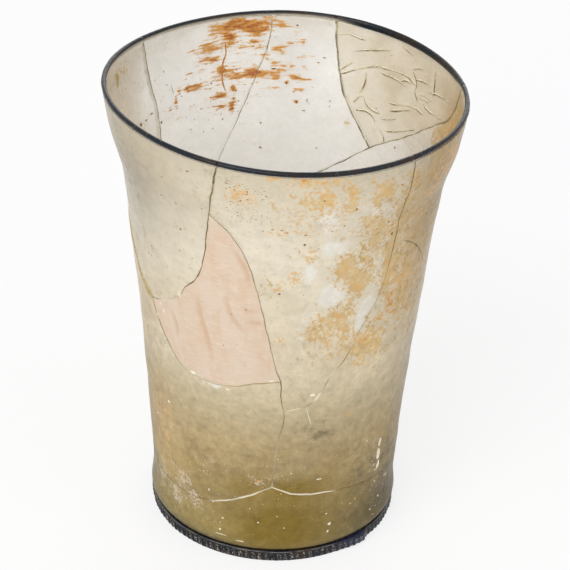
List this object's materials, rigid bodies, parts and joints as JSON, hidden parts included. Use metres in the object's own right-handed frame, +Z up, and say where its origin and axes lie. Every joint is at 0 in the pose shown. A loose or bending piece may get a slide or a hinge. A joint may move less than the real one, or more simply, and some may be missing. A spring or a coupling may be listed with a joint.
{
  "type": "glass beaker",
  "caption": "Tall aged glass beaker with a flared rim, a dark rim thread and a milled foot thread, glued up from sherds with resin fills.",
  "frame": {"origin": "middle of the foot, on the surface the beaker stands on", "axes": "+Z up out of the mouth, -Y towards the side seen in the picture, +X to the right of that view"},
  "size_m": [0.1273, 0.1273, 0.1724],
  "materials": {
    "aged_glass": "pale olive, hazed and speckled with weathering",
    "base_glass": "thick olive amber glass, hazed",
    "dark_glass": "blue black glass thread, glossy",
    "pink_resin": "opaque pale pink fill with soft streaks",
    "clear_resin": "crinkled clear beige resin"
  },
  "bodies": {
    "root": {"base": "base_glass", "sherd_front": "aged_glass", "sherd_right": "aged_glass", "sherd_lower_left": "aged_glass", "sherd_upper_left": "aged_glass", "sherd_back_left": "aged_glass", "sherd_back": "aged_glass", "fill_pink": "pink_resin", "fill_clear": "clear_resin", "rim_thread_front": "dark_glass", "rim_thread_right": "dark_glass", "rim_thread_clear_fill": "dark_glass", "rim_thread_back": "dark_glass", "rim_thread_back_left": "dark_glass", "rim_thread_left": "dark_glass", "foot_thread": "dark_glass"}
  },
  "joints": []
}
